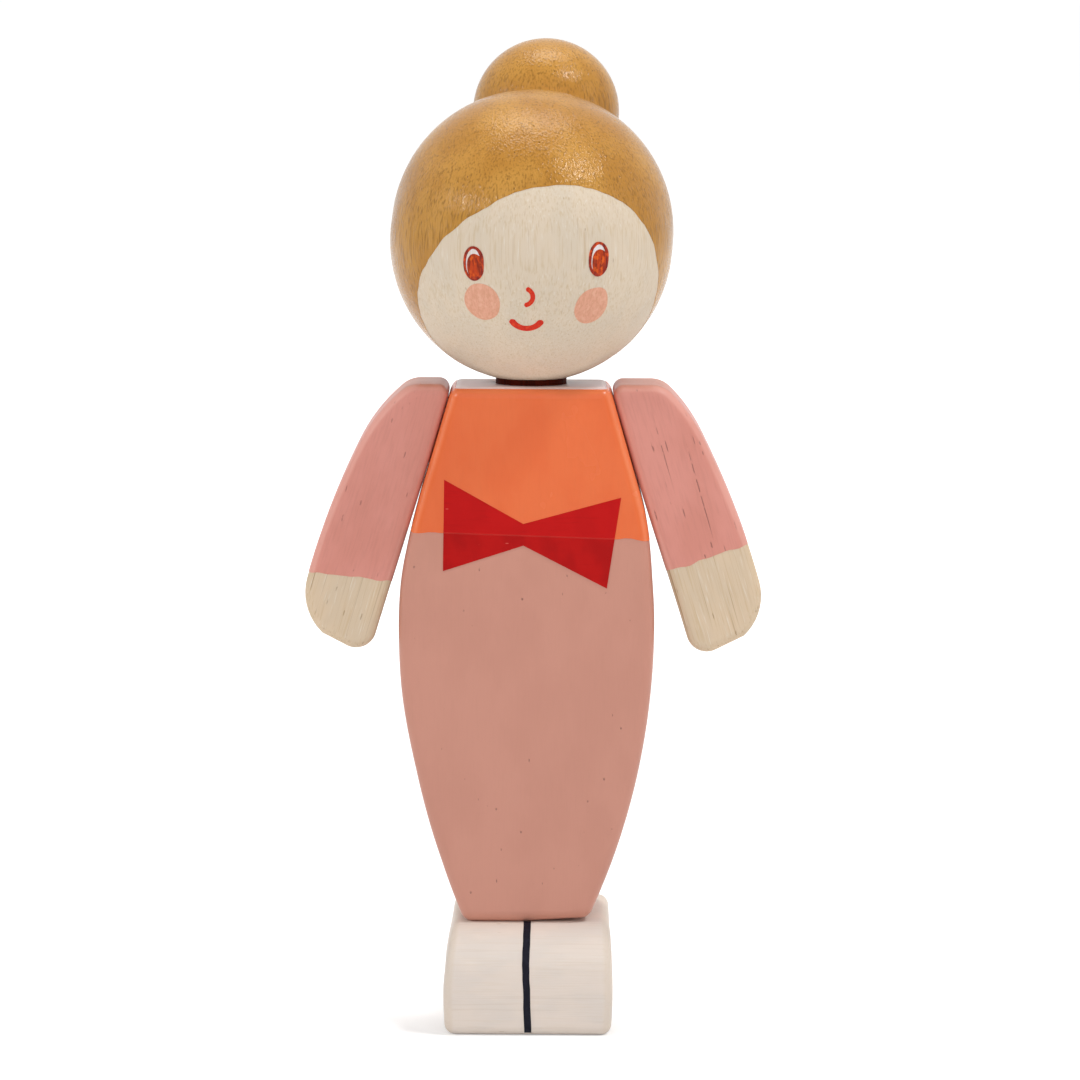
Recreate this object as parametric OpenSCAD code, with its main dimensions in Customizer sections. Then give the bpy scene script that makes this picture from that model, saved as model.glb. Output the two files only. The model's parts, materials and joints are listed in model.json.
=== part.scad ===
// Wooden doll: a turned head on a neck dowel, a flat body, two swinging arms
// and one block for both feet. The doll looks along -Y and stands on z = 0,
// with the origin on the floor, straight below the middle of its neck.

/* [Feet] */
// Width of the foot block
foot_width = 18.4; // [15:0.1:22]
// Depth of the foot block from toe to heel
foot_depth = 19; // [17:0.5:24]
// Height of the foot block
foot_height = 12.2; // [10:0.1:15]
// How far the toes reach in front of the middle of the body
toe_reach = 10; // [9:0.5:11]
// Radius of the rounded toe
toe_round = 4.6; // [3:0.1:7]
// Rounding of the other edges of the foot block
foot_edge = 1.2; // [0.6:0.1:2]

/* [Body] */
// Height of the hips, the widest level, above the hem
hip_rise = 31.9; // [28:0.1:36]
// Height of the shoulders above the hips
shoulder_rise = 26.1; // [24.5:0.1:31]
// Width of the body at the hem
hem_width = 14; // [12.5:0.1:17]
// Width of the body at the hips
hip_width = 27.8; // [26:0.1:30]
// Width of the body at the shoulders
shoulder_width = 17; // [16.4:0.1:19]
// Radius of the side between the hips and the flat flank
flank_curve = 53; // [44:0.5:54]
// Depth of the body from front to back
body_depth = 12; // [10:0.1:15]
// Rounding of the front and back edges of the body
body_edge = 1.2; // [0.5:0.1:2]
// Rounding of the four corners of the body
body_corner = 1.4; // [1:0.1:2.4]
// Height of the waist, where the bodice paint ends, above the hips
waist_rise = 10.1; // [6:0.1:16]

/* [Head] */
// Diameter of the head ball
head_diameter = 30.8; // [28:0.1:34]
// How much longer than wide the head ball is, along its turning axis
head_stretch = 1.5; // [0:0.1:3]
// Diameter of the bun
bun_diameter = 16.1; // [13:0.1:19]
// Distance from the middle of the head to the middle of the bun
bun_offset = 18.4; // [17:0.1:20]
// Radius of the groove between head and bun
groove_round = 0.7; // [0.3:0.1:1.2]
// Angle of the bun back from the vertical
bun_tilt = 45; // [35:1:50]
// Angle of the bun to the doll's left side
bun_lean = 6.5; // [0:0.5:8]
// Height of the middle of the head above its flat underside
head_drop = 15.3; // [14:0.1:15.8]
// Gap between the underside of the head and the shoulders
head_gap = 0.7; // [0.5:0.1:2]
// Distance of the plane of the hairline from the middle of the head
hairline_offset = 8.4; // [6:0.1:11]
// Angle of the face below the horizontal
face_tilt = 37; // [30:1:45]
// Angle of the face to the doll's left side
face_turn = 9; // [0:0.5:12]

/* [Arms] */
// Width of the arm at its widest level
arm_width = 8.9; // [8:0.1:10]
// Depth of the arm from front to back
arm_depth = 10.5; // [9:0.1:12]
// Length from the end of the shoulder curve to the widest level
forearm_length = 13.4; // [12:0.1:16]
// Length from the widest level to the tip of the hand
hand_length = 8.9; // [8:0.1:12]
// Radius of the outer side of the shoulder
shoulder_curve = 17.9; // [16:0.1:22]
// Radius of the top outer corner
shoulder_corner = 3; // [2.4:0.1:3.6]
// Radius of the outer side of the hand
hand_curve = 6.2; // [5.4:0.1:7]
// Radius of the tip of the hand
hand_tip = 2.2; // [1.8:0.1:3]
// Rounding of the edges of the arm
arm_edge = 1.1; // [0.5:0.1:1.7]
// Gap between the arm and the flank of the body
arm_gap = 0.3; // [0.2:0.05:0.8]
// Height of the arm above its pin
arm_top = 7.2; // [6.6:0.1:8]
// Length of the bare hand below the sleeve
bare_hand = 8.7; // [4:0.1:11]

/* [Dowels] */
// Diameter of the neck dowel
neck_diameter = 7.7; // [6:0.1:8.4]
// Length of the neck dowel inside the body
neck_in_body = 7; // [5:0.1:7.4]
// Length of the neck dowel inside the head
neck_in_head = 9; // [6:0.1:12]
// Diameter of the arm pins
pin_diameter = 4; // [3:0.1:4.4]
// Length of an arm pin inside the body
pin_in_body = 4.3; // [3:0.1:4.6]
// Length of an arm pin inside the arm
pin_in_arm = 5; // [4:0.1:5.6]
// Distance of the pins below the corner of the shoulders, along the flank
pin_drop = 7; // [6.6:0.1:8]
// Diameter of the two foot dowels
foot_dowel_diameter = 4; // [3:0.1:4.4]
// Distance between the two foot dowels
foot_dowel_spacing = 6.4; // [5.4:0.1:6.8]
// Length of a foot dowel inside the foot block
dowel_in_foot = 7; // [4:0.1:9]
// Length of a foot dowel inside the body
dowel_in_body = 8; // [5:0.1:12]
// Chamfer at both ends of each dowel
dowel_chamfer = 0.5; // [0.2:0.1:0.8]

/* [Fits] */
// Gap round a dowel that turns in its hole
running_clearance = 0.05; // [0.02:0.01:0.09]
// Gap round a dowel that is glued in its hole
glue_clearance = 0.02; // [0.01:0.01:0.05]
// Empty depth past the end of each dowel
hole_relief = 0.4; // [0.2:0.1:1]

/* [Hidden] */
$fn = 96;

// Steps of a rounded edge, and degrees per step of a small and a large arc
edge_steps = 4;
small_arc_step = 9;
large_arc_step = 2;

// Turn of an arm's outline where one arc meets the next, from the fingertip
// round the hand and up the outer side to the shoulder
fingertip_turn = -80;
hand_turn = -62;
wrist_turn = -2;
forearm_turn = 10;
shoulder_turn = 34;

// Colours of the paint and of the bare wood
whitewash = [0.88, 0.83, 0.78];
skin = [0.85, 0.78, 0.70];
honey = [0.78, 0.56, 0.32];
orange = [0.90, 0.44, 0.27];
rose = [0.79, 0.57, 0.50];
pink = [0.84, 0.57, 0.51];
umber = [0.28, 0.16, 0.11];
beech = [0.86, 0.76, 0.62];

// Levels up the doll
hip_level = foot_height + hip_rise;
shoulder_level = hip_level + shoulder_rise;
waist_level = hip_level + waist_rise;
head_underside = shoulder_level + head_gap;
head_level = head_underside + head_drop;

// The skirt's side is one arc through the hem, upright at the hips
hem_inset = (hip_width - hem_width) / 2;
skirt_curve = (pow(hip_rise, 2) + pow(hem_inset, 2)) / (2 * hem_inset);

// The arc above the hips is upright there, and no larger than leaves the
// whole pin hole on the flat flank
shoulder_inset = (hip_width - shoulder_width) / 2;
pin_flat = pin_drop + pin_diameter / 2;
flank_room = pow(shoulder_inset, 2) + pow(shoulder_rise, 2) - pow(pin_flat, 2);
flank_round = min(flank_curve, flank_room / (2 * shoulder_inset));

// The flank is the tangent from the corner of the shoulders to that arc
flank_run = flank_round - shoulder_inset;
flank_reach = norm([flank_run, shoulder_rise]);
flank_slope = atan2(shoulder_rise, flank_run) - acos(flank_round / flank_reach);
corner_round = max(body_corner, body_edge);

// Where an arm pin crosses the flank on the doll's left side
pin_x = shoulder_width / 2 + pin_drop * sin(flank_slope);
pin_z = shoulder_level - pin_drop * cos(flank_slope);

// Middles of the arcs of an arm's outer side, each of which runs on into the
// next, with x out of the flank and y up from the arm's pin
forearm_curve = forearm_length / sin(forearm_turn);
upper_run = polar(forearm_curve - shoulder_curve, forearm_turn);
corner_run = polar(shoulder_curve - shoulder_corner, shoulder_turn);
hand_run = polar(forearm_curve - hand_curve, wrist_turn);
corner_x = arm_width - forearm_curve + upper_run.x + corner_run.x;
top_fall = shoulder_corner - arm_edge + (corner_x - arm_edge) * sin(flank_slope);
widest_level = arm_top - arm_edge - upper_run.y - corner_run.y - top_fall / cos(flank_slope);
forearm_centre = [arm_width - forearm_curve, widest_level];
upper_centre = forearm_centre + upper_run;
corner_centre = upper_centre + corner_run;
hand_centre = forearm_centre + hand_run;
inner_centre = [arm_edge, arm_top - arm_edge];
tip_centre = [hand_tip, widest_level - hand_length + hand_tip];
cuff_level = widest_level - hand_length + bare_hand;

// How far a drill or a cut runs on past a face
overrun = foot_height;
// Side of a block that is larger than the doll
paint_block = 2 * (head_level + head_diameter);

// A point at a distance from zero in the direction of an angle
function polar(distance, angle) = distance * [cos(angle), sin(angle)];

// Points of an arc, with both its ends
function arc(centre, radius, from, to, step) =
    let (count = max(1, ceil(abs(to - from) / step)))
    [for (i = [0:count]) centre + polar(radius, from + (to - from) * i / count)];

// A half outline and its mirror image as one closed outline
function both_sides(side) =
    concat(side, [for (i = [len(side) - 1:-1:0]) [-side[i].x, side[i].y]]);

// Outline of the body in its own plane, drawn in by an inset
body_outline = function (inset)
    let (
        skirt_centre = [hip_width / 2 - skirt_curve, hip_level],
        flank_centre = [hip_width / 2 - flank_round, hip_level],
        drop = hip_rise - corner_round,
        run = sqrt(pow(skirt_curve - corner_round, 2) - pow(drop, 2)),
        hem_turn = -atan2(drop, run),
        top_inset = corner_round * (1 - sin(flank_slope)) / cos(flank_slope),
        top_centre = [shoulder_width / 2 - top_inset, shoulder_level - corner_round]
    )
    both_sides(concat(
        arc(skirt_centre + [run, -drop], corner_round - inset, -90, hem_turn, small_arc_step),
        arc(skirt_centre, skirt_curve - inset, hem_turn, 0, large_arc_step),
        arc(flank_centre, flank_round - inset, 0, flank_slope, large_arc_step),
        arc(top_centre, corner_round - inset, flank_slope, 90, small_arc_step)
    ));

// Outline of an arm, with x away from the body and y up from its pin.
// Its top edge is level while the arm hangs along the flank.
arm_outline = function (inset)
    concat(
        arc(tip_centre, hand_tip - inset, -180, fingertip_turn, small_arc_step),
        arc(hand_centre, hand_curve - inset, hand_turn, wrist_turn, small_arc_step),
        arc(forearm_centre, forearm_curve - inset, wrist_turn, forearm_turn, large_arc_step),
        arc(upper_centre, shoulder_curve - inset, forearm_turn, shoulder_turn, small_arc_step),
        arc(corner_centre, shoulder_corner - inset, shoulder_turn, 90 - flank_slope, small_arc_step),
        arc(inner_centre, arm_edge - inset, 90 - flank_slope, 180, small_arc_step)
    );

// Side view of the foot block, with x from heel to toe and y up
foot_outline = function (inset)
    let (
        heel = toe_reach - foot_depth,
        toe = max(toe_round, foot_edge)
    )
    concat(
        arc([heel + foot_edge, foot_edge], foot_edge - inset, 180, 270, small_arc_step),
        arc([toe_reach - foot_edge, foot_edge], foot_edge - inset, 270, 360, small_arc_step),
        arc([toe_reach - toe, foot_height - toe], toe - inset, 0, 90, small_arc_step),
        arc([heel + foot_edge, foot_height - foot_edge], foot_edge - inset, 90, 180, small_arc_step)
    );

// Half profile of the turned head: two ball caps with a short straight
// between them, the groove and the bun, along the turning axis
function head_profile() =
    let (
        ball = head_diameter / 2,
        bun = bun_diameter / 2,
        upper = [0, head_stretch / 2],
        knob = [0, bun_offset],
        apart = bun_offset - head_stretch / 2,
        near = ball + groove_round,
        far = bun + groove_round,
        rise = (pow(apart, 2) + pow(near, 2) - pow(far, 2)) / (2 * apart),
        groove = upper + [sqrt(pow(near, 2) - pow(rise, 2)), rise],
        ball_turn = atan2(rise, groove.x),
        bun_turn = atan2(rise - apart, groove.x)
    )
    concat(
        arc(-upper, ball, -90, 0, 2 * large_arc_step),
        arc(upper, ball, 0, ball_turn, 2 * large_arc_step),
        arc(groove, groove_round, 180 + ball_turn, 180 + bun_turn, 2 * small_arc_step),
        arc(knob, bun, bun_turn, 90, 2 * large_arc_step)
    );

// A plank with a flat front and back and quarter round edges, standing
// upright in the plane of its outline
module rounded_plank(depth, edge, outline) {
    hull()
        for (i = [0:edge_steps]) {
            turn = 90 * i / edge_steps;
            rotate([90, 0, 0])
                linear_extrude(depth - 2 * edge * (1 - sin(turn)), center = true)
                    polygon(outline(edge * (1 - cos(turn))));
        }
}

// A round dowel from z = 0 up, chamfered at both ends
module dowel(diameter, length) {
    radius = diameter / 2;
    side = [
        [0, 0],
        [radius - dowel_chamfer, 0],
        [radius, dowel_chamfer],
        [radius, length - dowel_chamfer],
        [radius - dowel_chamfer, length],
        [0, length]
    ];
    rotate_extrude()
        polygon(side);
}

// The hole for a dowel, drilled down from z = 0
module dowel_hole(diameter, depth, clearance) {
    translate([0, 0, -depth - hole_relief])
        cylinder(d = diameter + 2 * clearance, h = depth + hole_relief + overrun);
}

// Paints its first child in one colour where the second covers it, and in
// another colour elsewhere
module two_tone(inside, outside) {
    color(inside)
        intersection() {
            children(0);
            children(1);
        }
    color(outside)
        difference() {
            children(0);
            children(1);
        }
}

// A block that fills all the space below z = 0
module below() {
    translate([-paint_block / 2, -paint_block / 2, -paint_block])
        cube(paint_block);
}

// Puts its children on the flank at a pin: x out of the flank, z up along it
module on_flank(side) {
    mirror([side < 0 ? 1 : 0, 0, 0])
        translate([pin_x, 0, pin_z])
            rotate([0, -flank_slope, 0])
                children();
}

// Points z out of the flank
module along_pin() {
    rotate([0, 90, 0])
        children();
}

// Puts its children over a foot dowel, on top of the foot block
module at_foot_dowel(side) {
    translate([side * foot_dowel_spacing / 2, 0, foot_height])
        children();
}

module foot_block() {
    color(whitewash)
        difference() {
            rotate([0, 0, -90])
                rounded_plank(foot_width, foot_edge, foot_outline);
            for (side = [-1, 1])
                at_foot_dowel(side)
                    dowel_hole(foot_dowel_diameter, dowel_in_foot, glue_clearance);
        }
}

module foot_dowel(side) {
    color(beech)
        at_foot_dowel(side)
            translate([0, 0, -dowel_in_foot])
                dowel(foot_dowel_diameter, dowel_in_foot + dowel_in_body);
}

module body_wood() {
    difference() {
        rounded_plank(body_depth, body_edge, body_outline);
        translate([0, 0, shoulder_level])
            dowel_hole(neck_diameter, neck_in_body, glue_clearance);
        for (side = [-1, 1]) {
            on_flank(side)
                along_pin()
                    dowel_hole(pin_diameter, pin_in_body, running_clearance);
            at_foot_dowel(side)
                rotate([180, 0, 0])
                    dowel_hole(foot_dowel_diameter, dowel_in_body, glue_clearance);
        }
    }
}

module body() {
    two_tone(rose, orange) {
        body_wood();
        translate([0, 0, waist_level])
            below();
    }
}

module neck_dowel() {
    color(umber)
        translate([0, 0, shoulder_level - neck_in_body])
            dowel(neck_diameter, neck_in_body + head_gap + neck_in_head);
}

// The wood of the head, with the middle of its ball at zero
module head_wood() {
    difference() {
        rotate([0, bun_lean, 0])
            rotate([-bun_tilt, 0, 0])
                rotate_extrude()
                    polygon(head_profile());
        translate([0, 0, -head_drop]) {
            below();
            rotate([180, 0, 0])
                dowel_hole(neck_diameter, neck_in_head, running_clearance);
        }
    }
}

// The head is painted lying on its back, with the hairline level, and then
// turned upright
module head() {
    translate([0, 0, head_level])
        rotate([0, 0, face_turn])
            rotate([face_tilt - 90, 0, 0])
                two_tone(skin, honey) {
                    rotate([90 - face_tilt, 0, 0])
                        rotate([0, 0, -face_turn])
                            head_wood();
                    translate([0, 0, -hairline_offset])
                        below();
                }
}

module arm_wood() {
    difference() {
        translate([arm_gap, 0, 0])
            rounded_plank(arm_depth, arm_edge, arm_outline);
        translate([arm_gap, 0, 0])
            along_pin()
                rotate([180, 0, 0])
                    dowel_hole(pin_diameter, pin_in_arm, glue_clearance);
    }
}

module arm(side) {
    on_flank(side)
        two_tone(skin, pink) {
            arm_wood();
            translate([0, 0, cuff_level])
                below();
        }
}

module arm_pin(side) {
    color(beech)
        on_flank(side)
            along_pin()
                translate([0, 0, -pin_in_body])
                    dowel(pin_diameter, pin_in_body + arm_gap + pin_in_arm);
}

foot_block();
foot_dowel(1);  // left_foot_dowel
foot_dowel(-1);  // right_foot_dowel
body();
neck_dowel();
head();
arm(1);  // left_arm
arm(-1);  // right_arm
arm_pin(1);  // left_arm_pin
arm_pin(-1);  // right_arm_pin
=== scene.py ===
"""A painted wooden doll: turned head, plank body and arms, and a block for its feet.

Shapes are in millimetres, in the frame's axes: the doll looks along -Y and stands on z = 0.
Each layer of paint is a thin closed film over the wood that it covers.
"""

import json
import math

import bmesh
import bpy
from mathutils import Matrix, Vector, noise


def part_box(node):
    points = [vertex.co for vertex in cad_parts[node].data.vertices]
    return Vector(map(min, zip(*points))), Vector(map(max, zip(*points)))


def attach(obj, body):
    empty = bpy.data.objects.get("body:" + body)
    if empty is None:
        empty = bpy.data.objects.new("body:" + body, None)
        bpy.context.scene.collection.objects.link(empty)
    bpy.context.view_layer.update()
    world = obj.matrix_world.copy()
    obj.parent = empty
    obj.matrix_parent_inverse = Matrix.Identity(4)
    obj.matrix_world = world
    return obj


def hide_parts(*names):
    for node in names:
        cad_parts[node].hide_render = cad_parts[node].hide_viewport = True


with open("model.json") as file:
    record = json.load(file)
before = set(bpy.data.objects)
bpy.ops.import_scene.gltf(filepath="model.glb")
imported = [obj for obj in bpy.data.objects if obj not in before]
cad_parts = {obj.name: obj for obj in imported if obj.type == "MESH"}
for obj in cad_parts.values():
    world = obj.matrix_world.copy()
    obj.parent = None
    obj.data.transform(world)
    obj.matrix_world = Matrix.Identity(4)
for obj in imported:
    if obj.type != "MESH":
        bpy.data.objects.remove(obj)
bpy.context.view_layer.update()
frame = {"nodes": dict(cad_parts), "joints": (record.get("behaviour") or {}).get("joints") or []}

MM = 0.001

# Camera, in millimetres and degrees
CAMERA_PLACE = Vector((1.05, -600, 124))
CAMERA_DOWN = 6.748
CAMERA_ROLL = 0.3
LENS = 184.6
SENSOR = 36

# Lamps: azimuth and elevation in degrees, distance, width and height in metres, radiance
LAMPS = {
    "left_softbox": (-60, 31, 0.9, 0.11, 0.1, 36),
    "right_softbox": (66, 56, 0.9, 0.17, 0.15, 34),
    "left_strip": (-84, 10, 0.9, 0.07, 0.9, 5),
    "right_strip": (84, 10, 0.9, 0.07, 0.9, 5),
    "front_softbox": (0, 24, 1.6, 1.7, 1.2, 0.98),
    "top_softbox": (180, 78, 1.2, 0.75, 0.45, 7),
}
LAMP_AIM = Vector((0, 0, 0.06))
AMBIENT = 0.31

# Floor: half its width in metres, and its glow from near the doll to far from it
FLOOR_REACH = 12
FLOOR_GREY = 0.85
FLOOR_GLOW = (0.32, 0.75)
FLOOR_GLOW_REACH = (0.1, 0.8)

# How finely the meshes are cut
ARC_TURN = 9
SPACING = 0.8
EDGE_STEPS = 6
SIDE_SPACING = 1.5 * SPACING
RING_POINTS = 144
BORE_POINTS = 64
MARK_RINGS = 5
STROKE_COLUMNS = 4
STROKE_ROWS = 28
FOOT_COLUMNS = 16
TOE_ROWS = 6
BODY_COLUMNS = 32
FLANK_ROWS = 16
ARM_COLUMNS = 14
PALM_ROWS = 3
# Turn between two faces from which their edge is sharp
SHARP_TURN = math.radians(35)

# Paint films: height over the wood, depth into it
LIFT = 0.03
SINK = 0.06
# Distance under which two points of a film are one
WELD = 0.002

# Sanding of the planks: height and length of its waves, and its share on the sides
SANDING = 0.05
SANDING_LENGTH = 7
SANDING_OF_SIDES = 0.2

# Feet
FOOT_EDGE = 1.2
TOE_ROUND = 4.6
# How far the top of the block, and the hem on it, stand off level at its toe and heel
FOOT_TOP_SLANT = (-0.7, 0.25)
# How much the block is sanded away at its top, on its right and left, and at its sole
FOOT_TOP_WEAR = {"right": 1.0, "left": 0.35}
FOOT_SOLE_WEAR = 0.15
# Share of the height where the wear of the top starts, and heel depths forward where it ends
FOOT_WEAR_START = 0.4
FOOT_WEAR_REACH = 2.2
FOOT_LINE_WIDTH = 0.76
FOOT_LINE_BACK = -5.2
FOOT_LINE_START = 0.35
FOOT_LINE_RIPPLE = 0.1
FOOT_LINE_CELL = (3, 1.3)
# Places of the line between the feet, as (height, x)
FOOT_LINE = ((0, 0.0), (4, -0.12), (8, -0.27), (12, -0.12))

# Body
BODY_EDGE = 1.2
BODY_CORNER = 1.4
SHOULDER_RISE = 26.1
HEM_WIDTH = 14
SHOULDER_WIDTH = 17
FLANK_CURVE = 53
WAIST_LEVEL = 54.15
WAIST_FALL = 0.0314
WAIST_RIPPLE = 0.2
WAIST_WAVES = (1.7, 7)
# Distances from the waist over which its slope and ripple fade out
WAIST_FADE = (4, 6)
BODICE_TOP = 0.2
HEM_LIFT = 0.055
HEM_LIFT_START = -1.0
HEM_LIFT_REACH = 6
# How far the two flanks stand towards the doll's right of their true places
RIGHT_FLANK_SWAY = 0.33
LEFT_FLANK_SWAY = 0.4
# Heights in the body over which the sway sets in, on the right, and fades out
SWAY_RISE = (14.4, 26.4)
SWAY_FADE = (36, 45)

# Corners of the two wings of the bow, as (x, z), anticlockwise
BOW_TOP = (-0.76, 55.45)
BOW_BOTTOM = (-0.75, 53.09)
BOW = {
    "bow_right_wing": ((-9.33, 60.22), (-9.42, 50.28), BOW_BOTTOM, BOW_TOP),
    "bow_left_wing": (BOW_TOP, BOW_BOTTOM, (8.3, 48.47), (9.79, 58.36)),
}

# Head
BALL_RADIUS = 15.28
BALL_STRETCH = 1.5
BUN_RADIUS = 8.05
BUN_OFFSET = 18.4
GROOVE_ROUND = 0.7
BUN_TILT = 45
BUN_LEAN = 6.5
HEAD_DROP = 15.3
FACE_TILT = 37
FACE_TURN = 9
HAIRLINE_RIPPLE = 0.18
HAIRLINE_WAVES = (1.3, 2)
# How far the hair's paint stays above the underside of the head
HAIR_START = 0.02
# Distance of the hairline from the middle of the head, by the angle round the face
HAIRLINE = (
    (-180, 8.4), (-140, 8.7), (-90, 9.1), (-40, 9.5), (-8, 9.5), (15, 9.05), (35, 8.1),
    (55, 7.5), (80, 7.45), (105, 7.85), (125, 8.45), (150, 8.55), (180, 8.4),
)

# Face paint: (azimuth, elevation) on the head ball in degrees, sizes in millimetres
RIGHT_EYE = (-23.6, -5.7)
LEFT_EYE = (28.1, -3.8)
EYE_HALF = (1.21, 1.86)
EYE_STROKE = 0.32
EYE_WHITE_INSET = 0.1
PUPIL_SHIFT = (0.19, -0.33)
PUPIL_HALF = (0.97, 1.42)
RIGHT_CHEEK = (-21.5, -21.8)
RIGHT_CHEEK_HALF = (2.03, 2.14)
LEFT_CHEEK = (27.2, -23.7)
LEFT_CHEEK_HALF = (1.92, 2.12)
# Share of its width that a line keeps at its very end
BLUNT_END = 0.2
# Three spots that a line goes through, then its width, length and swell at its ends
FACE_LINES = {
    "nose": (((-1.96, -15.6), (0.85, -18.93), (-2.8, -22.8)), 0.5, 3.1, 1.1),
    "mouth": (((-9.0, -29.5), (-1.92, -33.7), (5.1, -29.8)), 0.68, 3.7, 1.15),
}
# Direction of the corner of the left cheek
CORNER_TURN = math.radians(50)
# Height of each mark over the wood
MARK_LIFT = {"eye_white": 0.02, "eye": 0.035, "eye_ring": 0.045, "cheek": 0.02, "lip": 0.03}

# Arms
ARM_WIDTH = {"right": 8.9, "left": 9.3}
ARM_DEPTH = 10.5
FOREARM_LENGTH = {"right": 13.0, "left": 13.95}
HAND_LENGTH = {"right": 8.5, "left": 8.7}
# How far the fingertips stand out beside the line of the flank
HAND_SPLAY = {"right": 0.25, "left": 0.5}
SHOULDER_CURVE = 17.9
SHOULDER_CORNER = 3
HAND_CURVE = 6.2
HAND_TIP = 2.2
ARM_EDGE = 1.1
ARM_GAP = 0.13
ARM_TOP = 6.8
CUFF_LEVEL = {"right": 49.5, "left": 51.65}
CUFF_RISE = {"right": 0.111, "left": 0.36}
CUFF_RIPPLE = 0.3
CUFF_WAVES = {"right": (1.4, -5), "left": (1.4, 5)}
# Distance of the middle of the cuff from the pin, away from the body
CUFF_MIDDLE = 8.5
# Half the turn of the hand's flat tip, and turns where arcs of the outline start or end
TIP_TURN = 4
FINGERTIP_TURN = -80
HAND_TURN = -62
WRIST_TURN = -2
FOREARM_TURN = 10
SHOULDER_TURN = {"right": 34, "left": 29}

# Bores, as part of the wood
PIN_RADIUS = 2.05
PIN_IN_BODY = 4.7
PIN_IN_ARM = 5.4
NECK_RADIUS = 3.9
NECK_IN_HEAD = 9.4
NECK_IN_BODY = 7.4
ARM_BORE_FIT = 0.03

# Small marks: the paint, its dark and its light, then its streaks, roughness and shine
MARK_PAINTS = {
    "foot_line": ((24, 24, 36), (14, 14, 22), (34, 34, 48), 0.5, 0.5, 0.1),
    "eye": ((190, 62, 16), (120, 32, 10), (222, 92, 22), 0.9, 0.42, 0.2),
    "eye_ring": ((158, 46, 26), (112, 32, 26), (216, 82, 30), 0.9, 0.42, 0.2),
    "eye_white": ((230, 222, 224), (222, 200, 170), (238, 230, 232), 0.5, 0.42, 0.2),
    "cheek": ((224, 164, 138), (212, 152, 122), (230, 176, 150), 0.7, 0.6, 0.2),
    "lip": ((212, 46, 22), (192, 34, 20), (224, 74, 28), 0.7, 0.42, 0.2),
}
BOW_SPECK = (225, 110, 100)
BOW_SEAM = (214, 72, 62)
# A shader's colour for chalky lines, and shares that cool the wash in its clouds
CHALK = (0.86, 0.84, 0.8, 1)
COOL = (0.95, 0.965, 0.98)

# Kinds of pores: their cell across and along the grain, their width in millimetres, and
# the share of the cells that have one
SHORT_PORES = (0.5, 3.0, 0.13, 0.4)
LONG_PORES = (0.55, 42, 0.13, 0.5)
SLEEVE_PORES = {
    "right": ((0.7, 2.4, 0.16, 0.2), SHORT_PORES),
    "left": (LONG_PORES, (0.5, 5.0, 0.13, 0.6), (0.7, 2.4, 0.17, 0.3)),
}

# Body that a piece rides on, and its material slot
FEET = ("trunk", "whitewashed_wood")
TRUNK = ("trunk", "body_paint")
HEAD = ("turned_head", "head_paint")

# Places that the frame gives
JOINTS = {joint["name"]: joint for joint in frame["joints"]}
ARM_AXIS = Vector(JOINTS["left_arm_swing"]["axis"])
FLANK_SLOPE = math.degrees(math.atan2(abs(ARM_AXIS.z), abs(ARM_AXIS.x)))
GRAIN_TURN = {"left": -FLANK_SLOPE, "right": FLANK_SLOPE}
FOOT_DEPTHS = [corner.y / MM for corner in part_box("foot_block")]


def box_in_mm(node):
    """The low and the high corner of the box round a node of the frame."""
    return [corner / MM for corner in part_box(node)]


def srgb(red, green, blue):
    """A colour given from 0 to 255, as the numbers that a shader takes."""
    parts = []
    for level in (red, green, blue):
        share = level / 255
        parts.append(share / 12.92 if share <= 0.04045 else ((share + 0.055) / 1.055) ** 2.4)
    return (*parts, 1)


def scaled(colour, shares):
    """A shader's colour with each of its parts scaled."""
    return (*(level * share for level, share in zip(colour, shares)), 1)


def ramp(value, start, end):
    """How far a value is from a start to an end, from 0 to 1 and eased at both."""
    share = min(1.0, max(0.0, (value - start) / (end - start)))
    return share * share * (3 - 2 * share)


def along(curve, place):
    """The value of a smooth curve given as (place, value) pairs."""
    if place <= curve[0][0]:
        return curve[0][1]
    for (start, a), (end, b) in zip(curve, curve[1:]):
        if place <= end:
            return a + (b - a) * ramp(place, start, end)
    return curve[-1][1]


def ripple(a, b, size, pattern):
    """An uneven shift between -1 and 1, by two distances, the size of its waves and a seed."""
    return noise.noise(Vector((a / size, b / size, pattern)))


# Meshes


def add_object(name, data):
    made = bpy.data.objects.new(name, data)
    bpy.context.scene.collection.objects.link(made)
    return made


def new_piece(name, points, faces, material, home):
    """A mesh piece from points in millimetres, facing outward, that rides on a body."""
    mesh = bpy.data.meshes.new(name)
    mesh.from_pydata([tuple(Vector(p) * MM) for p in points], [], faces)
    mesh.materials.append(material)
    made = bmesh.new()
    made.from_mesh(mesh)
    bmesh.ops.recalc_face_normals(made, faces=made.faces)
    made.to_mesh(mesh)
    made.free()
    return settle(add_object(name, mesh), home)


def settle(piece, home):
    body, slot = home
    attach(piece, body)
    return piece


def slice_off(made, point, direction):
    """Takes away what lies beyond a point in a direction."""
    bmesh.ops.bisect_plane(
        made,
        geom=[*made.verts, *made.edges, *made.faces],
        plane_co=Vector(point) * MM,
        plane_no=Vector(direction),
        clear_outer=True,
    )


def smooth(piece):
    piece.data.shade_smooth()
    piece.data.set_sharp_from_angle(angle=SHARP_TURN)


def apply_modifiers(piece):
    graph = bpy.context.evaluated_depsgraph_get()
    mesh = bpy.data.meshes.new_from_object(piece.evaluated_get(graph))
    piece.modifiers.clear()
    old = piece.data
    piece.data = mesh
    bpy.data.meshes.remove(old)


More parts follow.
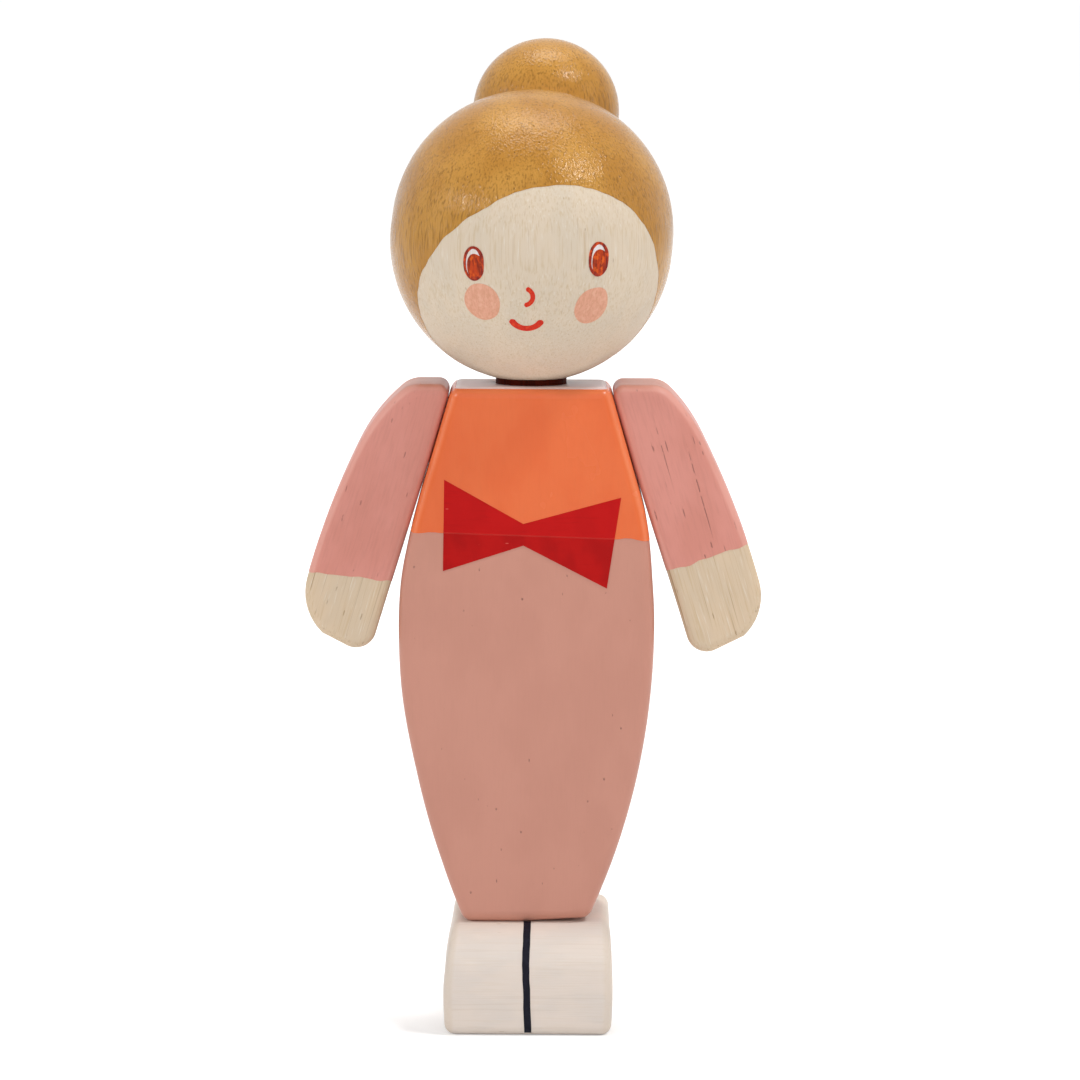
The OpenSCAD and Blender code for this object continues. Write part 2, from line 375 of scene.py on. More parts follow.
def drill(piece, start, direction, radius, depth):
    """Cuts a round bore into a piece, from a point on its surface along a direction."""
    made = bmesh.new()
    run = depth + radius
    turn = Vector((0, 0, 1)).rotation_difference(Vector(direction)).to_matrix().to_4x4()
    middle = Vector(start) + Vector(direction).normalized() * (depth - run / 2)
    place = Matrix.Translation(middle * MM) @ turn
    bmesh.ops.create_cone(
        made,
        cap_ends=True,
        segments=BORE_POINTS,
        radius1=radius * MM,
        radius2=radius * MM,
        depth=run * MM,
        matrix=place,
    )
    mesh = bpy.data.meshes.new("bore")
    made.to_mesh(mesh)
    made.free()
    cutter = add_object("bore", mesh)
    cut = piece.modifiers.new("bore", "BOOLEAN")
    cut.operation = "DIFFERENCE"
    cut.solver = "EXACT"
    cut.object = cutter
    bpy.context.view_layer.update()
    apply_modifiers(piece)
    bpy.data.objects.remove(cutter)


def sand(piece):
    """Gives a plank the slight waves of sanding by hand."""
    mesh = piece.data
    shifts = []
    for vertex in mesh.vertices:
        wave = noise.noise(vertex.co / (SANDING_LENGTH * MM))
        flat = max(SANDING_OF_SIDES, abs(vertex.normal.y))
        shifts.append(vertex.normal * wave * flat * SANDING * MM)
    for vertex, shift in zip(mesh.vertices, shifts):
        vertex.co += shift
    mesh.update()


def paint_film(name, wood, cuts, material, home, warp=None, lift=LIFT):
    """A thin closed coat over the part of a piece that its cuts leave.

    Each cut is a point and a direction, and takes away what lies on that side. A warp is a
    shift of a point that bends the cuts.
    """
    made = bmesh.new()
    made.from_mesh(wood.data)
    for vertex in made.verts:
        if warp:
            vertex.co += warp(vertex.co / MM) * MM
    for point, direction in cuts:
        slice_off(made, point, direction)
    for vertex in made.verts:
        if warp:
            vertex.co -= warp(vertex.co / MM) * MM
    bmesh.ops.remove_doubles(made, verts=made.verts, dist=WELD * MM)
    bmesh.ops.recalc_face_normals(made, faces=made.faces)
    made.normal_update()
    for vertex in made.verts:
        vertex.co += vertex.normal * lift * MM
    mesh = bpy.data.meshes.new(name)
    made.to_mesh(mesh)
    made.free()
    mesh.materials.append(material)
    piece = add_object(name, mesh)
    shell = piece.modifiers.new("coat", "SOLIDIFY")
    shell.thickness = (lift + SINK) * MM
    shell.offset = -1
    bpy.context.view_layer.update()
    apply_modifiers(piece)
    return settle(piece, home)


# Outlines and planks


def arc(centre, radius, start, end):
    """Points of an arc as (x, z, direction of its outward normal)."""
    turn = abs(end - start)
    length = math.radians(turn) * radius
    count = max(1, math.ceil(turn / ARC_TURN), math.ceil(length / SPACING))
    points = []
    for i in range(count + 1):
        angle = start + (end - start) * i / count
        x = centre[0] + radius * math.cos(math.radians(angle))
        z = centre[1] + radius * math.sin(math.radians(angle))
        points.append((x, z, angle))
    return points


def joined(side, bend, count):
    """An outline that runs straight on to an arc, in so many rows."""
    x, z, angle = side[-1]
    run = bend[0][0] - x
    rise = bend[0][1] - z
    between = [(x + run * i / count, z + rise * i / count, angle) for i in range(1, count)]
    return side + between + bend


def mirrored(side):
    return [(-x, z, 180 - angle) for x, z, angle in side]


def inset(point, amount):
    x, z, angle = point
    turn = math.radians(angle)
    return (x - amount * math.cos(turn), z - amount * math.sin(turn))


def plank(left, right, depth, edge, columns, place):
    """Points and faces of a plank with rounded edges, from the two sides of its outline.

    Both sides run from the bottom up.
    """
    rows = len(left)
    points = []
    faces = []

    def add_point(row, column, y, amount):
        a = inset(left[row], amount)
        b = inset(right[row], amount)
        share = column / columns
        points.append(place(a[0] + (b[0] - a[0]) * share, y, a[1] + (b[1] - a[1]) * share))
        return len(points) - 1

    around = [(row, columns) for row in range(rows)]
    around += [(rows - 1, column) for column in range(columns - 1, 0, -1)]
    around += [(row, 0) for row in range(rows - 1, -1, -1)]
    around += [(0, column) for column in range(1, columns)]
    turns = [math.radians(90 * i / EDGE_STEPS) for i in range(EDGE_STEPS, -1, -1)]
    near = [(-depth / 2 + edge * (1 - math.sin(t)), edge * (1 - math.cos(t))) for t in turns]
    gap = depth - 2 * edge
    count = max(2, math.ceil(gap / SIDE_SPACING))
    side = [(-gap / 2 + gap * i / count, 0) for i in range(1, count)]
    far = [(-y, amount) for y, amount in reversed(near)]
    loops = [[add_point(*spot, y, amount) for spot in around] for y, amount in near + side + far]
    for a, b in zip(loops, loops[1:]):
        for i in range(len(around)):
            j = (i + 1) % len(around)
            faces.append((a[i], a[j], b[j], b[i]))
    for loop, y in ((loops[0], -depth / 2), (loops[-1], depth / 2)):
        grid = {spot: loop[i] for i, spot in enumerate(around)}
        for row in range(1, rows - 1):
            for column in range(1, columns):
                grid[row, column] = add_point(row, column, y, edge)
        for row in range(rows - 1):
            for column in range(columns):
                spots = ((row, column), (row, column + 1), (row + 1, column + 1), (row + 1, column))
                faces.append(tuple(grid[spot] for spot in spots))
    return points, faces


# Shaders


def add_node(tree, kind, values=None, **settings):
    """A shader node, with the values of its inputs or the sockets that feed them."""
    made = tree.nodes.new("ShaderNode" + kind)
    for name, value in settings.items():
        setattr(made, name, value)
    for socket, value in (values or {}).items():
        if isinstance(value, bpy.types.NodeSocket):
            tree.links.new(value, made.inputs[socket])
        else:
            made.inputs[socket].default_value = value
    return made


class Finish:
    """A material under construction: its node tree, and short calls for its nodes."""

    def __init__(self, name, roughness, specular):
        self.material = bpy.data.materials.new(name)
        self.material.use_nodes = True
        self.tree = self.material.node_tree
        self.shader = self.tree.nodes["Principled BSDF"]
        self.shader.inputs["Roughness"].default_value = roughness
        self.shader.inputs["Specular IOR Level"].default_value = specular
        coordinates = self.node("TexCoord")
        self.place = coordinates.outputs["Object"]
        self.facing = coordinates.outputs["Normal"]

    def node(self, kind, values=None, **settings):
        return add_node(self.tree, kind, values, **settings)

    def space(self, turn, across, along, shift=0.0):
        """Coordinates in cells that are so many millimetres across and along the grain.

        The grain is upright before it is turned about Y, in degrees.
        """
        values = {
            "Vector": self.place,
            "Location": (shift * MM, shift * MM, shift * MM),
            "Rotation": (0, math.radians(turn), 0),
            "Scale": (across * MM, across * MM, along * MM),
        }
        return self.node("Mapping", values, vector_type="TEXTURE").outputs[0]

    def noise(self, space, detail=2.0, roughness=0.5):
        values = {"Vector": space, "Scale": 1.0, "Detail": detail, "Roughness": roughness}
        return self.node("TexNoise", values).outputs[0]

    def remap(self, value, low, high, out_low=0.0, out_high=1.0):
        values = {0: value, 1: low, 2: high, 3: out_low, 4: out_high}
        return self.node("MapRange", values, interpolation_type="SMOOTHSTEP").outputs[0]

    def math(self, operation, a, b=0.0):
        return self.node("Math", {0: a, 1: b}, operation=operation).outputs[0]

    def mix(self, share, a, b):
        return self.node("Mix", {0: share, 6: a, 7: b}, data_type="RGBA").outputs[2]

    def part(self, vector, axis):
        return self.node("SeparateXYZ", {0: vector}).outputs[axis]

    def pores(self, turn, kinds, shift=0.0):
        """Where the wood's open pores are: long thin pits along the grain."""
        total = None
        for i, (across, along_it, width, share) in enumerate(kinds):
            space = self.space(turn, across, along_it, shift + 7 * i)
            cells = self.node("TexVoronoi", {"Vector": space, "Scale": 1.0})
            radius = width / 2 / across
            pit = self.remap(cells.outputs["Distance"], radius * 0.6, radius * 1.3, 1.0, 0.0)
            chosen = self.node("SeparateColor", {0: cells.outputs["Color"]}).outputs[0]
            pit = self.math("MULTIPLY", pit, self.math("LESS_THAN", chosen, share))
            breaks = self.noise(self.space(turn, across, 0.9, shift), 1.0)
            pit = self.math("MULTIPLY", pit, self.remap(breaks, 0.38, 0.5))
            total = pit if total is None else self.math("MAXIMUM", total, pit)
        return total

    # Marks the rounded edges: on whitewash where it is worn, on satin paint where the paint is thin
    # and a painted highlight lies.
    def edge_wear_and_sheen(self, axis):
        """1 on the rounded edges of a plank that is flat across an axis, else 0."""
        slant = self.math("ABSOLUTE", self.part(self.facing, axis))
        off_rim = self.remap(slant, 0.08, 0.4)
        off_flat = self.remap(slant, 0.82, 0.97, 1.0, 0.0)
        return self.math("MULTIPLY", off_rim, off_flat)

    def bump(self, height, depth, normal=None):
        values = {"Height": height, "Distance": depth * MM, "Strength": 1.0}
        if normal:
            values["Normal"] = normal
        return self.node("Bump", values).outputs[0]

    def finish(self, colour, normal, roughness=None):
        self.tree.links.new(colour, self.shader.inputs["Base Color"])
        self.tree.links.new(normal, self.shader.inputs["Normal"])
        if roughness:
            self.tree.links.new(roughness, self.shader.inputs["Roughness"])
        return self.material


def gloss_paint(
    name, colours, pores, streaks, relief, turn=0.0, shift=0.0, peel=0.02,
    rough=(0.3, 0.42), shine=0.3, pore_shade=0.7, top=None, edge=None,
):
    """Satin paint over open-pored wood, with fine grain showing through.

    The colours are the paint, its dark and its light. Streaks are the share of dark grain,
    relief is its depth, peel the depth of the paint's own waves, shine the specular level,
    and pore_shade how far the pores are darkened, as painted shade in their pits. Top is a
    colour for what faces up, its own paint made lighter or darker there as painted light, and
    edge one for the rounded edges of a plank, where the paint is thin and the paler colour
    is also a painted highlight.
    """
    colour, dark, light = (srgb(*parts) for parts in colours)
    made = Finish(name, rough[0], shine)
    clouds = made.noise(made.space(turn, 5, 9, shift + 3), 3.0)
    lines = made.noise(made.space(turn, 0.2, 2.4, shift + 1), 1.5)
    waves = made.noise(made.space(turn, 0.9, 1.4, shift + 2))
    pits = made.pores(turn, pores, shift)
    tone = made.mix(made.remap(clouds, 0.35, 0.65), dark, light)
    tone = made.mix(0.4, tone, colour)
    deep = scaled(dark, (0.45, 0.45, 0.45))
    tone = made.mix(made.remap(lines, 0.45, 0.75, 0.0, streaks), tone, deep)
    shade = scaled(dark, (0.18, 0.18, 0.18))
    # The pores' pits are darkened towards near black, as painted shade in them.
    tone = made.mix(made.math("MULTIPLY", pits, pore_shade), tone, shade)
    # What faces up takes the top colour: the part's own paint there, made lighter or darker as
    # painted light.
    if top:
        upward = made.remap(made.part(made.facing, 2), 0.6, 0.95, 0.0, 0.8)
        tone = made.mix(upward, tone, srgb(*top))
    # The rounded edges take the edge colour: thin paint there, and a paler band that is a painted
    # highlight where the lamps glance off them.
    if edge:
        thin = made.math("MULTIPLY", made.edge_wear_and_sheen(1), made.remap(clouds, 0.2, 0.7, 0.35, 0.65))
        tone = made.mix(thin, tone, srgb(*edge))
    normal = made.bump(waves, peel)
    normal = made.bump(lines, relief, normal)
    normal = made.bump(made.math("SUBTRACT", 1.0, pits), 0.05, normal)
    return made.finish(tone, normal, made.remap(clouds, 0.25, 0.75, *rough))


def washed_wood(
    name, colours, pores, lines, veins, turn=0.0, shift=0.0, bright=0.35, wear=0.0, axis=0,
):
    """Thin whitewash over wood, whose grain shows in fine lines.

    The colours are the wash, the wood and its veins. Lines, veins, bright and wear are the
    shares of the fine grain, the few brown veins, the chalky lines and the bare edges of a
    plank that is flat across an axis.
    """
    wash, wood, vein = (srgb(*parts) for parts in colours)
    made = Finish(name, 0.55, 0.25)
    clouds = made.noise(made.space(turn, 3.5, 7, shift + 3), 3.0)
    fine = made.noise(made.space(turn, 0.17, 6.5, shift), 1.5, 0.6)
    chalky = made.noise(made.space(turn, 0.15, 2.5, shift + 9), 1.5, 0.6)
    long_veins = made.noise(made.space(turn, 0.3, 18, shift + 2), 1.0)
    pits = made.pores(turn, pores, shift)
    tone = made.mix(made.remap(clouds, 0.42, 0.62), wash, scaled(wash, COOL))
    tone = made.mix(made.remap(fine, 0.48, 0.7, 0.0, lines), tone, wood)
    tone = made.mix(made.remap(chalky, 0.58, 0.78, 0.0, bright), tone, CHALK)
    tone = made.mix(made.remap(long_veins, 0.63, 0.74, 0.0, veins), tone, vein)
    if wear:
        tone = made.mix(made.math("MULTIPLY", made.edge_wear_and_sheen(axis), wear), tone, wood)
    tone = made.mix(made.math("MULTIPLY", pits, 0.45), tone, vein)
    normal = made.bump(fine, 0.02)
    normal = made.bump(made.math("SUBTRACT", 1.0, pits), 0.04, normal)
    return made.finish(tone, normal)


def bow_paint(colours):
    """The red of the bow, over the step where the bodice's paint ends."""
    colour, dark, light = (srgb(*parts) for parts in colours)
    made = Finish("bow_paint", 0.34, 0.1)
    blots = made.noise(made.space(0, 2.5, 3.5, 1))
    lines = made.noise(made.space(90, 0.3, 3, 2))
    pits = made.pores(90, ((0.8, 2.5, 0.12, 0.5),), 3)
    fall = made.math("MULTIPLY", made.part(made.place, 0), WAIST_FALL)
    level = made.math("ADD", made.part(made.place, 2), fall)
    over = made.math("SUBTRACT", level, WAIST_LEVEL * MM)
    seam = made.remap(made.math("ABSOLUTE", over), 0.03 * MM, 0.1 * MM, 1.0, 0.0)
    above = made.remap(over, -0.02 * MM, 0.02 * MM)
    tone = made.mix(made.remap(blots, 0.35, 0.65), dark, colour)
    tone = made.mix(made.math("MULTIPLY", above, 0.6), tone, light)
    tone = made.mix(made.remap(lines, 0.55, 0.75, 0.0, 0.35), tone, dark)
    tone = made.mix(made.math("MULTIPLY", pits, 0.5), tone, srgb(*BOW_SPECK))
    tone = made.mix(made.math("MULTIPLY", seam, 0.35), tone, srgb(*BOW_SEAM))
    normal = made.bump(above, 0.04)
    return made.finish(tone, made.bump(lines, 0.006, normal))


def mark_paint(name, colour, dark, light, streaks, roughness, shine):
    """A small painted mark, uneven where it lies on the grain."""
    made = Finish(name, roughness, shine)
    lines = made.noise(made.space(0, 0.2, 1.6), 2.0, 0.6)
    blots = made.noise(made.space(0, 0.4, 0.55, 4))
    tone = made.mix(made.remap(lines, 0.42, 0.62, 0.0, streaks), srgb(*colour), srgb(*dark))
    tone = made.mix(made.remap(blots, 0.5, 0.7, 0.0, streaks), tone, srgb(*light))
    return made.finish(tone, made.bump(lines, 0.012))


# Wood with dark grain lines; on the neck dowel its near-black brown is painted shade.
def wood_tone_and_shade(name, colour, dark, roughness):
    made = Finish(name, roughness, 0.03)
    lines = made.noise(made.space(0, 0.3, 5), 3.0, 0.6)
    tone = made.mix(made.remap(lines, 0.35, 0.7), srgb(*colour), srgb(*dark))
    return made.finish(tone, made.bump(lines, 0.03))


def make_finishes():
    """Every material of the doll, by name."""
    made = {}
    made["face"] = washed_wood(
        "face_wash",
        ((219, 202, 180), (196, 168, 120), (166, 132, 92)),
        ((0.6, 5.0, 0.1, 0.3),),
        lines=0.38, veins=0.2, shift=5,
    )
    made["hair"] = gloss_paint(
        "hair_paint",
        ((188, 134, 56), (174, 119, 43), (200, 147, 68)),
        ((0.7, 3.8, 0.15, 0.4), (0.55, 1.3, 0.11, 0.22)),
        streaks=0.62, relief=0.065, peel=0.04, rough=(0.08, 0.15), shine=0.17, pore_shade=0.6,
    )
    # The skirt's top colour is the pale paint of the body's top face, lightened further as painted
    # light against the shade under the head.
    made["skirt"] = gloss_paint(
        "skirt_paint",
        ((199, 140, 122), (196, 137, 119), (202, 143, 125)),
        ((0.9, 1.3, 0.2, 0.09), (0.5, 1.6, 0.12, 0.04)),
        streaks=0.03, relief=0.003, pore_shade=0.5, top=(250, 238, 242),
    )
    # The bodice's paler edge colour is a painted highlight on its rounded edges, over paint that is
    # thin there.
    made["bodice"] = gloss_paint(
        "bodice_paint",
        ((231, 107, 54), (228, 102, 49), (233, 113, 61)),
        ((1.1, 2.5, 0.16, 0.06),),
        streaks=0.03, relief=0.003, peel=0.03, rough=(0.2, 0.28), edge=(240, 136, 88),
    )
    made["bow"] = bow_paint(((184, 15, 14), (170, 11, 11), (198, 18, 19)))
    # The sleeves' top colour is darker than their paint, painted shade against the pale reflection
    # on their tops; their paler edge colour is partly bare wood through thin paint and partly a
    # painted highlight.
    for side, shift, pore_shade, veins in (("right", 11, 0.3, 0.3), ("left", 23, 0.5, 0.6)):
        made[side + "_sleeve"] = gloss_paint(
            side + "_sleeve_paint",
            ((213, 140, 126), (207, 134, 119), (219, 147, 134)),
            SLEEVE_PORES[side],
            streaks=0.1, relief=0.012, turn=GRAIN_TURN[side], shift=shift,
            peel=0.04, pore_shade=pore_shade, top=(200, 127, 98), edge=(228, 166, 152),
        )
        made[side + "_hand"] = washed_wood(
            side + "_hand_wash",
            ((217, 194, 166), (198, 168, 125), (150, 112, 70)),
            (LONG_PORES, SHORT_PORES),
            lines=0.4, veins=veins, turn=GRAIN_TURN[side], shift=shift, wear=0.1, axis=1,
        )
    made["feet"] = washed_wood(
        "feet_wash",
        ((232, 219, 208), (214, 192, 160), (176, 150, 122)),
        ((0.8, 3, 0.16, 0.25),),
        lines=0.12, veins=0.1, turn=90, shift=31, bright=0.15, wear=0.2,
    )
    # The neck dowel is painted near-black brown, as painted shade of the narrow gap under the head.
    made["neck"] = wood_tone_and_shade("neck_painted_shade", (84, 24, 10), (52, 12, 4), 0.5)
    made["dowel"] = wood_tone_and_shade("bare_dowel", (222, 198, 160), (200, 172, 130), 0.6)
    for name, look in MARK_PAINTS.items():
        made[name] = mark_paint(name + "_paint", *look)
    return made


# Feet


def slant(y):
    """How far the top of the foot block stands off level at a depth."""
    low, high = FOOT_DEPTHS
    toe, heel = FOOT_TOP_SLANT
    return toe + (heel - toe) * (y - low) / (high - low)


def make_feet(finishes):
    low, high = box_in_mm("foot_block")
    width = high.x - low.x
    middle = (low.x + high.x) / 2
    sole_toe = (-low.y - FOOT_EDGE, low.z + FOOT_EDGE)
    sole_heel = (-high.y + FOOT_EDGE, low.z + FOOT_EDGE)
    top_toe = (-low.y - TOE_ROUND, high.z - TOE_ROUND)
    top_heel = (-high.y + FOOT_EDGE, high.z - FOOT_EDGE)
    toe = arc(sole_toe, FOOT_EDGE, -90, 0)
    bend = arc(top_toe, TOE_ROUND, 0, 90)
    toe = joined(toe, bend, TOE_ROWS)
    heel = arc(sole_heel, FOOT_EDGE, -90, -180)
    bend = arc(top_heel, FOOT_EDGE, 180, 90)
    heel = joined(heel, bend, len(toe) - len(heel) - len(bend) + 1)

    def place(x, y, z):
        side = "right" if y < 0 else "left"
        top = ramp(z / high.z, FOOT_WEAR_START, 1) * ramp(x / high.y, FOOT_WEAR_REACH, 0)
        sole = ramp(z, TOE_ROUND, 0)
        wear = top * FOOT_TOP_WEAR[side] + sole * FOOT_SOLE_WEAR
        return (middle + y * (1 - 2 * wear / width), -x, z + slant(-x) * z / high.z)

    points, faces = plank(heel, toe, width, FOOT_EDGE, FOOT_COLUMNS, place)
    feet = new_piece("feet_wood", points, faces, finishes["feet"], FEET)
    sand(feet)
    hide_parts("foot_block")

    def wander(point):
        across, up = FOOT_LINE_CELL
        rough = noise.noise(Vector((point.x / across, 0, point.z / up)))
        return Vector((FOOT_LINE_RIPPLE * rough - along(FOOT_LINE, point.z), 0, 0))

    half = FOOT_LINE_WIDTH / 2
    cuts = (
        ((-half, 0, 0), (-1, 0, 0)),
        ((half, 0, 0), (1, 0, 0)),
        ((0, FOOT_LINE_BACK, 0), (0, 1, 0)),
        ((0, 0, FOOT_LINE_START), (0, 0, -1)),
    )
    line = paint_film("foot_line", feet, cuts, finishes["foot_line"], FEET, wander)
    smooth(feet)
    smooth(line)


# Body


def body_side(low, high):
    """The outline of the body's left side, from the hem up."""
    half = high.x
    hips = high.z - SHOULDER_RISE
    rise = hips - low.z
    hem_inset = half - HEM_WIDTH / 2
    skirt = (rise**2 + hem_inset**2) / (2 * hem_inset)
    drop = rise - BODY_CORNER
    run = math.sqrt((skirt - BODY_CORNER) ** 2 - drop**2)
    hem_turn = -math.degrees(math.atan2(drop, run))
    shoulder_inset = half - SHOULDER_WIDTH / 2
    flank_run = FLANK_CURVE - shoulder_inset
    reach = math.hypot(flank_run, SHOULDER_RISE)
    slope = math.degrees(math.atan2(SHOULDER_RISE, flank_run) - math.acos(FLANK_CURVE / reach))
    lean = math.radians(slope)
    top_inset = BODY_CORNER * (1 - math.sin(lean)) / math.cos(lean)
    hem_centre = (half - skirt + run, hips - drop)
    top_centre = (SHOULDER_WIDTH / 2 - top_inset, high.z - BODY_CORNER)
    side = arc(hem_centre, BODY_CORNER, -90, hem_turn)
    side += arc((half - skirt, hips), skirt, hem_turn, 0)[1:]
    side += arc((half - FLANK_CURVE, hips), FLANK_CURVE, 0, slope)[1:]
    return joined(side, arc(top_centre, BODY_CORNER, slope, 90), FLANK_ROWS)


def hem_shift(x, y, above):
    """How far the hem follows the feet's top and, on the doll's left, stands off it."""
    share = max(0.0, 1 - above / HEM_LIFT_REACH)
    return (max(0.0, x - HEM_LIFT_START) * HEM_LIFT + slant(y)) * share


def sway(x, above):
    """How far a point of the body stands beside its true place, by its height in it."""
    share = min(1.0, max(-1.0, 2 * x / HEM_WIDTH)) * ramp(above, SWAY_FADE[1], SWAY_FADE[0])
    if share < 0:
        return RIGHT_FLANK_SWAY * share * ramp(above, *SWAY_RISE)
    return -LEFT_FLANK_SWAY * share


def make_body(finishes):
    low, high = box_in_mm("body")
    side = body_side(low, high)

    def place(x, y, z):
        above = z - low.z
        return Vector((x + sway(x, above), y, z + hem_shift(x, y, above)))

    points, faces = plank(mirrored(side), side, high.y - low.y, BODY_EDGE, BODY_COLUMNS, place)
    body = new_piece("body_wood", points, faces, finishes["skirt"], TRUNK)
    sand(body)
    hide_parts("body")

    def waist(point):
        bend = ripple(point.x, point.y, *WAIST_WAVES) * WAIST_RIPPLE
        near = ramp(abs(point.z - WAIST_LEVEL), WAIST_FADE[1], WAIST_FADE[0])
        return Vector((0, 0, (point.x * WAIST_FALL + bend) * near))

    cuts = (((0, 0, WAIST_LEVEL), (0, 0, -1)), ((0, 0, high.z - BODICE_TOP), (0, 0, 1)))
    bodice = paint_film("bodice_paint", body, cuts, finishes["bodice"], TRUNK, waist)
    wings = []
    for name, corners in BOW.items():
        cuts = [((0, 0, 0), (0, 1, 0))]
        for a, b in zip(corners, corners[1:] + corners[:1]):
            cuts.append(((a[0], 0, a[1]), (b[1] - a[1], 0, a[0] - b[0])))
        wings.append(paint_film(name, body, cuts, finishes["bow"], TRUNK, lift=2 * LIFT))
    for piece in (body, bodice):
        for name, turn in (("left_arm_swing", 1), ("right_arm_swing", -1)):
            inward = Vector(JOINTS[name]["axis"]) * turn
            drill(piece, Vector(JOINTS[name]["pos_m"]) / MM, inward, PIN_RADIUS, PIN_IN_BODY)
    drill(body, (0, 0, high.z), (0, 0, -1), NECK_RADIUS, NECK_IN_BODY)
    for piece in (body, bodice, *wings):
        smooth(piece)


# Head


def axis_of(azimuth, elevation):
    """A direction by its angle about Z, from -Y towards +X, and its rise, in degrees."""
    turn = math.radians(azimuth)
    rise = math.radians(elevation)
    flat = math.cos(rise)
    return Vector((math.sin(turn) * flat, -math.cos(turn) * flat, math.sin(rise)))


def head_profile():
    """Half profile of the head along the axis of its bun: (radius, height)."""
    upper = BALL_STRETCH / 2
    apart = BUN_OFFSET - upper
    near = BALL_RADIUS + GROOVE_ROUND
    far = BUN_RADIUS + GROOVE_ROUND
    rise = (apart**2 + near**2 - far**2) / (2 * apart)
    groove = (math.sqrt(near**2 - rise**2), upper + rise)
    ball_turn = math.degrees(math.atan2(rise, groove[0]))
    bun_turn = math.degrees(math.atan2(rise - apart, groove[0]))
    line = arc((0, -upper), BALL_RADIUS, -90, 0)
    line += arc((0, upper), BALL_RADIUS, 0, ball_turn)
    line += arc(groove, GROOVE_ROUND, 180 + ball_turn, 180 + bun_turn)[1:]
    line += arc((0, BUN_OFFSET), BUN_RADIUS, bun_turn, 90)[1:]
    return [(x, z) for x, z, _ in line]


def turned(profile, place):
    """Points and faces of a turned solid, whose profile starts and ends on its axis."""
    points = [place(0, 0, profile[0][1])]
    rings = []
    for radius, height in profile[1:-1]:
        ring = []
        for i in range(RING_POINTS):
            angle = 2 * math.pi * i / RING_POINTS
            ring.append(len(points))
            points.append(place(radius * math.cos(angle), radius * math.sin(angle), height))
        rings.append(ring)
    top = len(points)
    points.append(place(0, 0, profile[-1][1]))
    faces = []
    for i in range(RING_POINTS):
        j = (i + 1) % RING_POINTS
        faces.append((0, rings[0][j], rings[0][i]))
        for a, b in zip(rings, rings[1:]):
            faces.append((a[i], a[j], b[j], b[i]))
        faces.append((rings[-1][i], rings[-1][j], top))
    return points, faces


def make_head(finishes):
    low, _ = box_in_mm("head")
    middle = Vector((0, 0, low.z + HEAD_DROP))
    lean = Matrix.Rotation(math.radians(BUN_LEAN), 3, "Y")
    turn = lean @ Matrix.Rotation(math.radians(-BUN_TILT), 3, "X")
    points, faces = turned(head_profile(), lambda x, y, z: middle + turn @ Vector((x, y, z)))
    head = new_piece("head_wood", points, faces, finishes["face"], HEAD)
    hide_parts("head")
    face = axis_of(FACE_TURN, -FACE_TILT)
    across = Vector((0, 0, 1)).cross(face).normalized()
    upward = face.cross(across)

    def hairline(point):
        away = point - middle
        u = away.dot(across)
        v = away.dot(upward)
        distance = along(HAIRLINE, math.degrees(math.atan2(v, u)))
        return -face * (distance + HAIRLINE_RIPPLE * ripple(v, u, *HAIRLINE_WAVES))

    cuts = ((middle, face), ((0, 0, low.z + HAIR_START), (0, 0, -1)))
    hair = paint_film("hair_paint", head, cuts, finishes["hair"], HEAD, hairline)
    made = bmesh.new()
    made.from_mesh(head.data)
    slice_off(made, (0, 0, low.z), (0, 0, -1))
    bmesh.ops.holes_fill(made, edges=[e for e in made.edges if e.is_boundary], sides=0)
    made.to_mesh(head.data)
    made.free()
    for piece in (head, hair):
        drill(piece, (0, 0, low.z), (0, 0, 1), NECK_RADIUS, NECK_IN_HEAD)
        smooth(piece)
    make_face(finishes, middle - turn @ Vector((0, 0, BALL_STRETCH / 2)))


def on_ball(centre, spot, u, v, height):
    """The point on the head ball that lies u and v millimetres from a spot on it."""
    out = axis_of(*spot)
    right = axis_of(spot[0] + 90, 0)
    up = out.cross(right)
    distance = math.hypot(u, v)
    if distance > 0:
        angle = distance / BALL_RADIUS
        out = out * math.cos(angle) + (right * u + up * v) / distance * math.sin(angle)
    return centre + out * (BALL_RADIUS + height)


def ball_film(name, centre, spot, rows, material, lift, closed=False):
    """A film on the head ball, over rows of (u, v) points round a spot.

    Points that fall together are one. In a closed film the last row joins the first.
    """
    points = []
    faces = []
    layers = []
    for height in (lift, -SINK):
        found = {}
        for u, v in (place for row in rows for place in row):
            if (u, v) not in found:
                found[u, v] = len(points)
                points.append(on_ball(centre, spot, u, v, height))
        layers.append([[found[place] for place in row] for row in rows])
    upper, lower = layers
    count = len(rows)
    columns = len(rows[0]) - 1

    def add_face(*corners):
        corners = tuple(dict.fromkeys(corners))
        if len(corners) > 2:
            faces.append(corners)

    for i in range(count if closed else count - 1):
        j = (i + 1) % count
        for layer in layers:
            for k in range(columns):
                add_face(layer[i][k], layer[i][k + 1], layer[j][k + 1], layer[j][k])
        for k in (0, columns):
            add_face(upper[i][k], lower[i][k], lower[j][k], upper[j][k])
    if not closed:
        for i in (0, count - 1):
            for k in range(columns):
                add_face(upper[i][k], upper[i][k + 1], lower[i][k + 1], lower[i][k])
    smooth(new_piece(name, points, faces, material, HEAD))


def mark(name, centre, spot, outline, material, lift):
    """A film that fills an outline of (u, v) points round its spot."""
    shares = [ring / MARK_RINGS for ring in range(MARK_RINGS + 1)]
    rows = [[(u * share, v * share) for share in shares] for u, v in outline]
    ball_film(name, centre, spot, rows, material, lift, closed=True)


